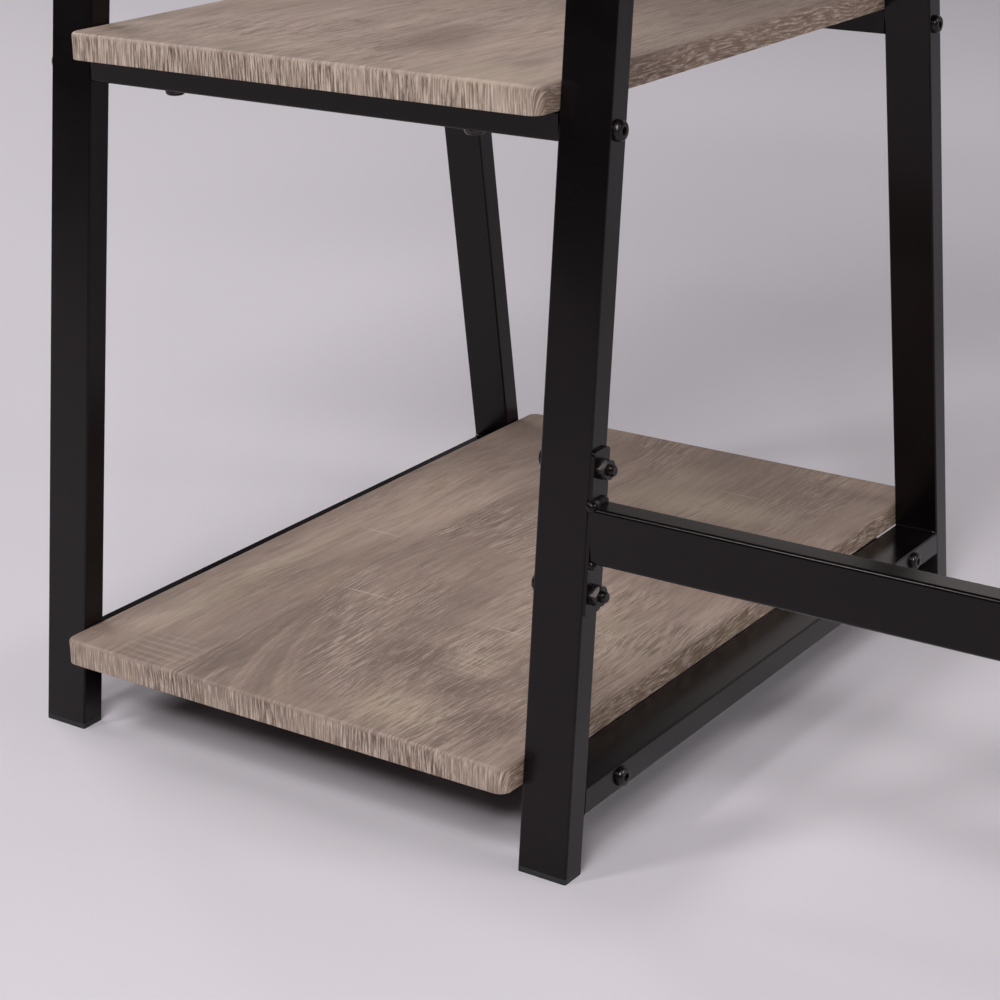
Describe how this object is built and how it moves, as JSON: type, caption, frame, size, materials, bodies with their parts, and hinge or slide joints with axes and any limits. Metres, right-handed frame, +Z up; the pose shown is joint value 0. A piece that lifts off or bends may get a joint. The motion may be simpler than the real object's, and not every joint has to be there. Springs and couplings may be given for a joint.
{
  "type": "computer desk",
  "caption": "Computer desk on slanted tube frames, with open shelves at one end and a crossbar at the back of the knee space.",
  "frame": {"origin": "on the floor, under the middle of the desktop", "axes": "+Z up; +X along the desktop towards the end with the shelves; -Y is the side where the user sits, and +Y is the side with the crossbar"},
  "size_m": [1.2, 0.5, 0.735],
  "materials": {
    "oak_board": "weathered oak foil, satin",
    "black_frame": "black powder coat, satin",
    "black_plastic": "moulded, fine grained",
    "black_hardware": "black zinc plating, half gloss",
    "plain_steel": "bright zinc plating"
  },
  "bodies": {
    "root": {"outer_frame_front_leg": "black_frame", "outer_frame_rear_leg": "black_frame", "outer_frame_lower_rail": "black_frame", "outer_frame_top_rail": "black_frame", "inner_frame_front_leg": "black_frame", "inner_frame_rear_leg": "black_frame", "inner_frame_lower_rail": "black_frame", "inner_frame_top_rail": "black_frame", "end_frame_front_leg": "black_frame", "end_frame_rear_leg": "black_frame", "end_frame_lower_rail": "black_frame", "end_frame_top_rail": "black_frame", "outer_frame_front_foot_cap": "black_plastic", "outer_frame_rear_foot_cap": "black_plastic", "inner_frame_front_foot_cap": "black_plastic", "inner_frame_rear_foot_cap": "black_plastic", "end_frame_front_foot_cap": "black_plastic", "end_frame_rear_foot_cap": "black_plastic", "lower_shelf_front_tube": "black_frame", "lower_shelf_rear_tube": "black_frame", "upper_shelf_front_tube": "black_frame", "upper_shelf_rear_tube": "black_frame", "desktop_front_tube": "black_frame", "desktop_rear_tube": "black_frame", "crossbar": "black_frame", "crossbar_inner_plate": "black_frame", "crossbar_end_plate": "black_frame", "lower_shelf": "oak_board", "upper_shelf": "oak_board", "desktop": "oak_board", "lower_shelf_bolts": "black_hardware", "upper_shelf_bolts": "black_hardware", "desktop_bolts": "black_hardware", "shelf_tube_bolts": "black_hardware", "desktop_tube_bolts": "black_hardware", "crossbar_bolts": "black_hardware", "crossbar_nuts": "black_hardware", "shelf_tube_plugs": "plain_steel", "desktop_tube_plugs": "plain_steel", "lower_shelf_inserts": "plain_steel", "upper_shelf_inserts": "plain_steel", "desktop_inserts": "plain_steel"}
  },
  "joints": []
}
